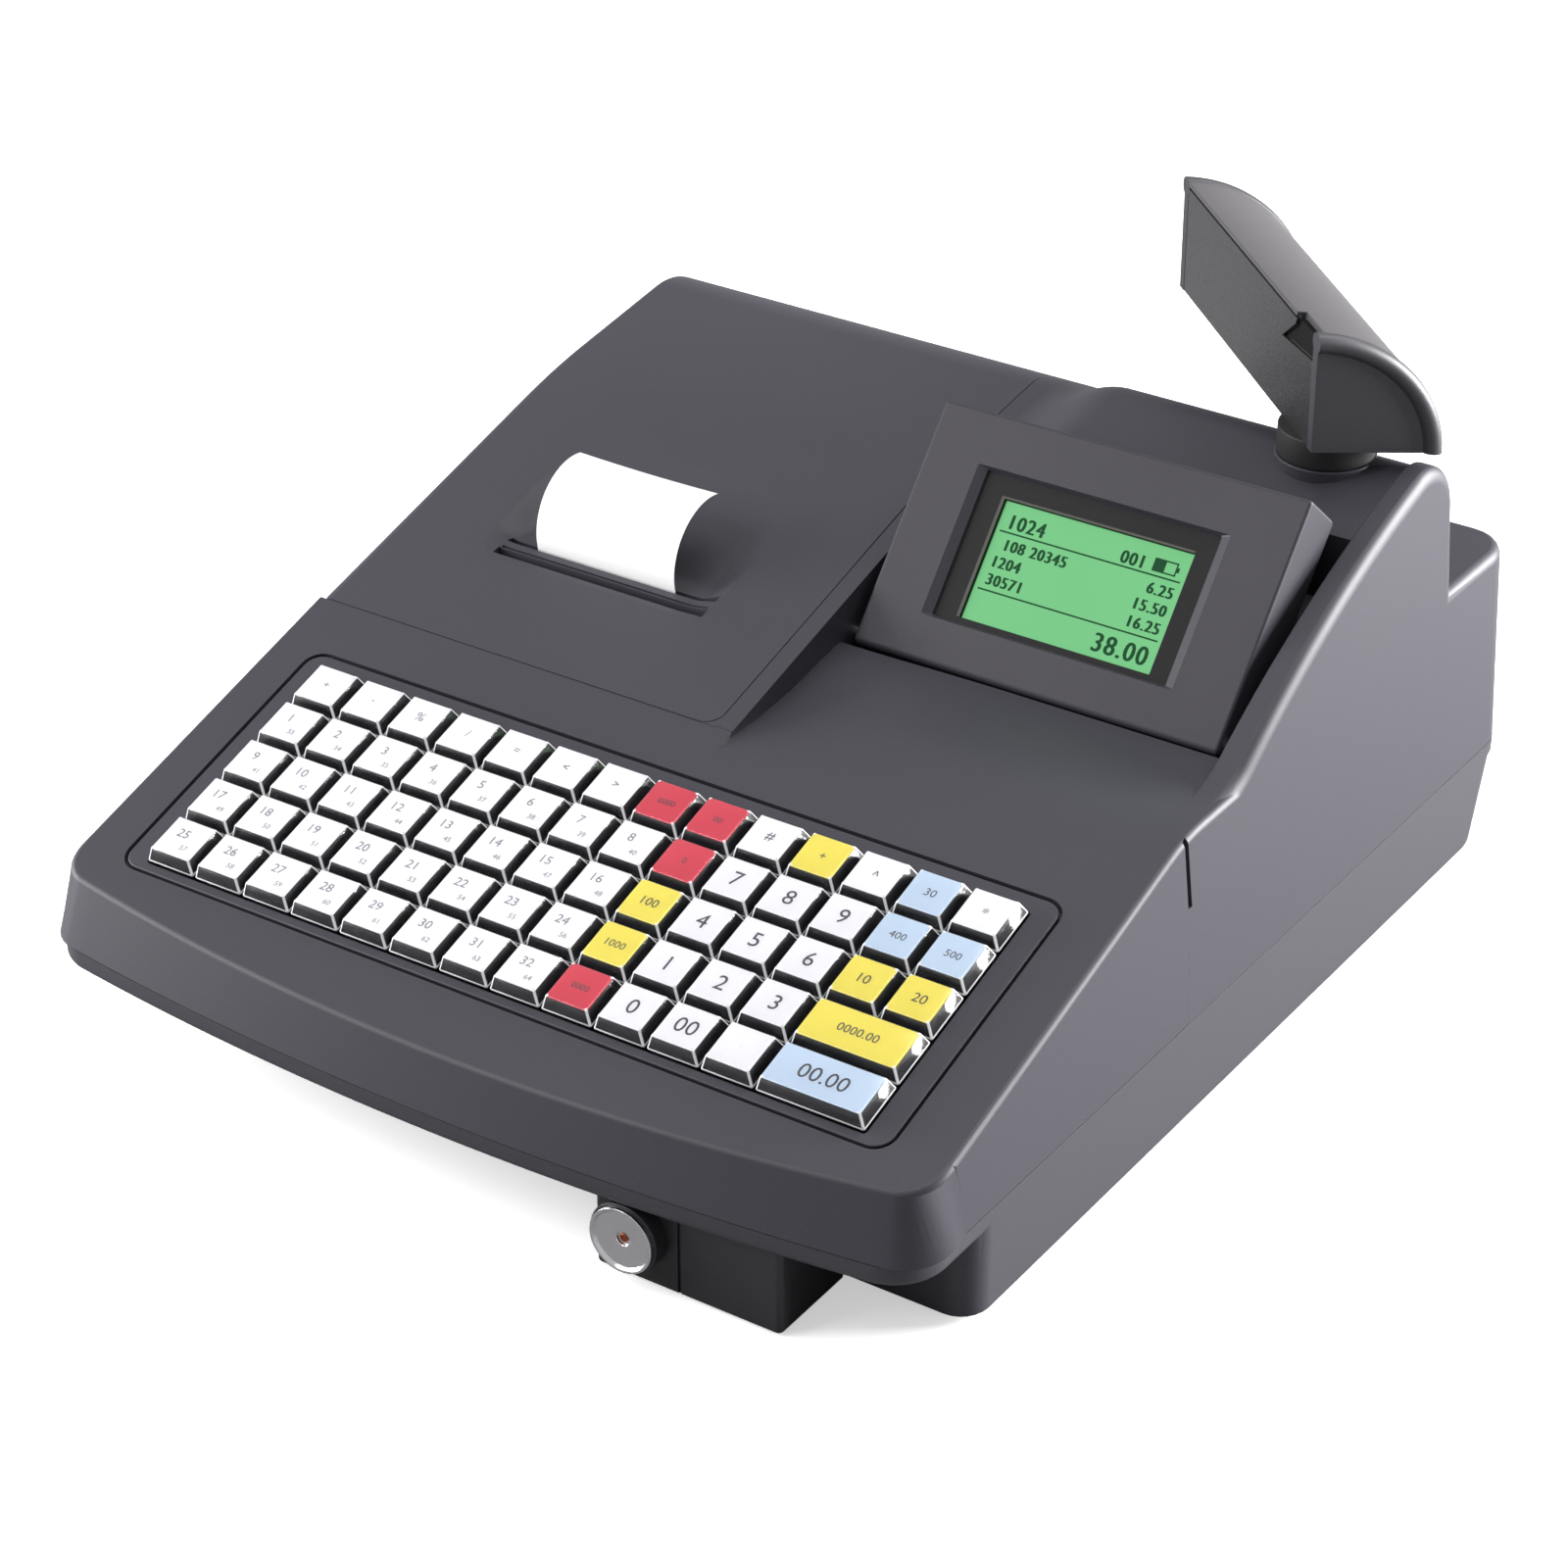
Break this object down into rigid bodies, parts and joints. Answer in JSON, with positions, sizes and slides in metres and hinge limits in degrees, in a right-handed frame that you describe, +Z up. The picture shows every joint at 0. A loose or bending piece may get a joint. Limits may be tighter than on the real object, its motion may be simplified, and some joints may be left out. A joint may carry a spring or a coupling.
{
  "type": "ticket register",
  "caption": "Sloping counter register with a flat keyboard, a ticket printer under a hinged lid, a tilting operator screen and a turning customer display.",
  "frame": {"origin": "on the floor under the middle of the whole register's bounding box", "axes": "+X to the operator's right, +Y away from the operator, +Z up"},
  "size_m": [0.324, 0.4232, 0.21],
  "materials": {
    "case_plastic": "dark charcoal moulded plastic with a fine spark texture, satin",
    "base_plastic": "dark charcoal moulded plastic, satin",
    "inner_plastic": "black moulded plastic",
    "foot_rubber": "black rubber",
    "steel": "bright steel",
    "circuit_board": "green circuit board",
    "dome_rubber": "grey silicone",
    "key_white": "white label under a clear cap",
    "key_red": "red label under a clear cap",
    "key_yellow": "yellow label under a clear cap",
    "key_blue": "pale blue label under a clear cap",
    "key_number": "pale grey label under a clear cap",
    "contact_copper": "brown metal contact",
    "gear_plastic": "white acetal",
    "pinion_brass": "brass",
    "head_ceramic": "glazed ceramic on an aluminium plate",
    "platen_rubber": "black rubber sleeve on a steel shaft",
    "paper": "smooth white thermal paper",
    "core_card": "grey-brown cardboard",
    "screen_green": "lit green liquid crystal display",
    "bezel_black": "black frame",
    "display_plastic": "dark grey moulded plastic, satin",
    "window_smoke": "smoked window, satin"
  },
  "bodies": {
    "case": {"lower_case": "base_plastic", "upper_case": "case_plastic", "rubber_feet": "foot_rubber", "case_screws": "steel", "keyboard_panel": "case_plastic", "key_guide_plate": "inner_plastic", "dome_sheet": "dome_rubber", "keyboard_board": "circuit_board", "main_board": "circuit_board", "port_panel": "inner_plastic", "reader_housing": "inner_plastic", "reader_bezel": "inner_plastic", "reader_cup": "steel", "reader_contact": "contact_copper", "printer_frame": "steel", "thermal_head": "head_ceramic", "feed_motor": "steel", "roll_bucket": "inner_plastic", "lid_hinge_rod": "steel", "lcd_hinge_rod": "steel"},
    "lid": {"printer_lid": "case_plastic", "tear_bar": "steel", "paper_ticket": "paper"},
    "platen": {"platen_roller": "platen_rubber", "platen_gear": "gear_plastic"},
    "idler": {"idler_gear": "gear_plastic"},
    "pinion": {"motor_pinion": "pinion_brass"},
    "roll": {"paper_roll": "paper", "roll_core": "core_card"},
    "operator_display": {"lcd_housing": "case_plastic", "lcd_back": "inner_plastic", "lcd_screen": "screen_green", "lcd_bezel": "bezel_black"},
    "customer_display": {"display_neck": "inner_plastic", "display_shell": "display_plastic", "display_caps": "display_plastic", "display_window": "window_smoke"},
    "keys_row_1_body": {"keys_row_1": "key_white"},
    "keys_row_2_body": {"keys_row_2": "key_white"},
    "keys_row_3_body": {"keys_row_3": "key_white"},
    "keys_row_4_body": {"keys_row_4": "key_white"},
    "keys_row_5_body": {"keys_row_5": "key_white"},
    "keys_red_body": {"keys_red": "key_red"},
    "keys_yellow_body": {"keys_yellow": "key_yellow"},
    "keys_blue_body": {"keys_blue": "key_blue"},
    "key_subtotal_body": {"key_subtotal": "key_yellow"},
    "key_total_body": {"key_total": "key_blue"},
    "key_0_body": {"key_0": "key_number"},
    "key_1_body": {"key_1": "key_number"},
    "key_2_body": {"key_2": "key_number"},
    "key_3_body": {"key_3": "key_number"},
    "key_4_body": {"key_4": "key_number"},
    "key_5_body": {"key_5": "key_number"},
    "key_6_body": {"key_6": "key_number"},
    "key_7_body": {"key_7": "key_number"},
    "key_8_body": {"key_8": "key_number"},
    "key_9_body": {"key_9": "key_number"},
    "key_double_zero_body": {"key_double_zero": "key_number"},
    "key_point_body": {"key_point": "key_number"}
  },
  "joints": [
    {"name": "lid_hinge", "type": "hinge", "parent": "case", "child": "lid", "pos_m": [-0.08, 0.14887, 0.117], "axis": [-1, 0, 0], "range_deg": [0, 75]},
    {"name": "operator_display_tilt", "type": "hinge", "parent": "case", "child": "operator_display", "pos_m": [0.0765, 0.00947, 0.1036], "axis": [1, 0, 0], "range_deg": [0, 20]},
    {"name": "customer_display_turn", "type": "hinge", "parent": "case", "child": "customer_display", "pos_m": [0.1205, 0.10887, 0.16], "axis": [0, 0, 1], "range_deg": [-45, 43]},
    {"name": "platen_spin", "type": "hinge", "parent": "case", "child": "platen", "pos_m": [-0.07625, -0.00913, 0.09], "axis": [1, 0, 0], "continuous": true},
    {"name": "idler_spin", "type": "hinge", "parent": "case", "child": "idler", "pos_m": [-0.117, -0.01471, 0.07804], "axis": [1, 0, 0], "continuous": true},
    {"name": "pinion_spin", "type": "hinge", "parent": "case", "child": "pinion", "pos_m": [-0.117, -0.00991, 0.06972], "axis": [1, 0, 0], "continuous": true},
    {"name": "paper_roll_turn", "type": "hinge", "parent": "case", "child": "roll", "pos_m": [-0.07625, 0.08687, 0.099], "axis": [1, 0, 0], "continuous": true},
    {"name": "keys_row_1_press", "type": "slide", "parent": "case", "child": "keys_row_1_body", "axis": [0, 0.289, -0.9573], "range_m": [0, 0.0025], "stiffness_N_per_m": 2400, "springref_m": -0.001},
    {"name": "keys_row_2_press", "type": "slide", "parent": "case", "child": "keys_row_2_body", "axis": [0, 0.289, -0.9573], "range_m": [0, 0.0025], "stiffness_N_per_m": 1920, "springref_m": -0.001},
    {"name": "keys_row_3_press", "type": "slide", "parent": "case", "child": "keys_row_3_body", "axis": [0, 0.289, -0.9573], "range_m": [0, 0.0025], "stiffness_N_per_m": 1920, "springref_m": -0.001},
    {"name": "keys_row_4_press", "type": "slide", "parent": "case", "child": "keys_row_4_body", "axis": [0, 0.289, -0.9573], "range_m": [0, 0.0025], "stiffness_N_per_m": 1920, "springref_m": -0.001},
    {"name": "keys_row_5_press", "type": "slide", "parent": "case", "child": "keys_row_5_body", "axis": [0, 0.289, -0.9573], "range_m": [0, 0.0025], "stiffness_N_per_m": 1920, "springref_m": -0.001},
    {"name": "keys_red_press", "type": "slide", "parent": "case", "child": "keys_red_body", "axis": [0, 0.289, -0.9573], "range_m": [0, 0.0025], "stiffness_N_per_m": 960, "springref_m": -0.001},
    {"name": "keys_yellow_press", "type": "slide", "parent": "case", "child": "keys_yellow_body", "axis": [0, 0.289, -0.9573], "range_m": [0, 0.0025], "stiffness_N_per_m": 1200, "springref_m": -0.001},
    {"name": "keys_blue_press", "type": "slide", "parent": "case", "child": "keys_blue_body", "axis": [0, 0.289, -0.9573], "range_m": [0, 0.0025], "stiffness_N_per_m": 720, "springref_m": -0.001},
    {"name": "key_subtotal_press", "type": "slide", "parent": "case", "child": "key_subtotal_body", "axis": [0, 0.289, -0.9573], "range_m": [0, 0.0025], "stiffness_N_per_m": 240, "springref_m": -0.001},
    {"name": "key_total_press", "type": "slide", "parent": "case", "child": "key_total_body", "axis": [0, 0.289, -0.9573], "range_m": [0, 0.0025], "stiffness_N_per_m": 240, "springref_m": -0.001},
    {"name": "key_0_press", "type": "slide", "parent": "case", "child": "key_0_body", "axis": [0, 0.289, -0.9573], "range_m": [0, 0.0025], "stiffness_N_per_m": 240, "springref_m": -0.001},
    {"name": "key_1_press", "type": "slide", "parent": "case", "child": "key_1_body", "axis": [0, 0.289, -0.9573], "range_m": [0, 0.0025], "stiffness_N_per_m": 240, "springref_m": -0.001},
    {"name": "key_2_press", "type": "slide", "parent": "case", "child": "key_2_body", "axis": [0, 0.289, -0.9573], "range_m": [0, 0.0025], "stiffness_N_per_m": 240, "springref_m": -0.001},
    {"name": "key_3_press", "type": "slide", "parent": "case", "child": "key_3_body", "axis": [0, 0.289, -0.9573], "range_m": [0, 0.0025], "stiffness_N_per_m": 240, "springref_m": -0.001},
    {"name": "key_4_press", "type": "slide", "parent": "case", "child": "key_4_body", "axis": [0, 0.289, -0.9573], "range_m": [0, 0.0025], "stiffness_N_per_m": 240, "springref_m": -0.001},
    {"name": "key_5_press", "type": "slide", "parent": "case", "child": "key_5_body", "axis": [0, 0.289, -0.9573], "range_m": [0, 0.0025], "stiffness_N_per_m": 240, "springref_m": -0.001},
    {"name": "key_6_press", "type": "slide", "parent": "case", "child": "key_6_body", "axis": [0, 0.289, -0.9573], "range_m": [0, 0.0025], "stiffness_N_per_m": 240, "springref_m": -0.001},
    {"name": "key_7_press", "type": "slide", "parent": "case", "child": "key_7_body", "axis": [0, 0.289, -0.9573], "range_m": [0, 0.0025], "stiffness_N_per_m": 240, "springref_m": -0.001},
    {"name": "key_8_press", "type": "slide", "parent": "case", "child": "key_8_body", "axis": [0, 0.289, -0.9573], "range_m": [0, 0.0025], "stiffness_N_per_m": 240, "springref_m": -0.001},
    {"name": "key_9_press", "type": "slide", "parent": "case", "child": "key_9_body", "axis": [0, 0.289, -0.9573], "range_m": [0, 0.0025], "stiffness_N_per_m": 240, "springref_m": -0.001},
    {"name": "key_double_zero_press", "type": "slide", "parent": "case", "child": "key_double_zero_body", "axis": [0, 0.289, -0.9573], "range_m": [0, 0.0025], "stiffness_N_per_m": 240, "springref_m": -0.001},
    {"name": "key_point_press", "type": "slide", "parent": "case", "child": "key_point_body", "axis": [0, 0.289, -0.9573], "range_m": [0, 0.0025], "stiffness_N_per_m": 240, "springref_m": -0.001}
  ],
  "couplings": [
    {"joint": "idler_spin", "follows": "platen_spin", "ratio": -1.2},
    {"joint": "pinion_spin", "follows": "platen_spin", "ratio": 2}
  ]
}
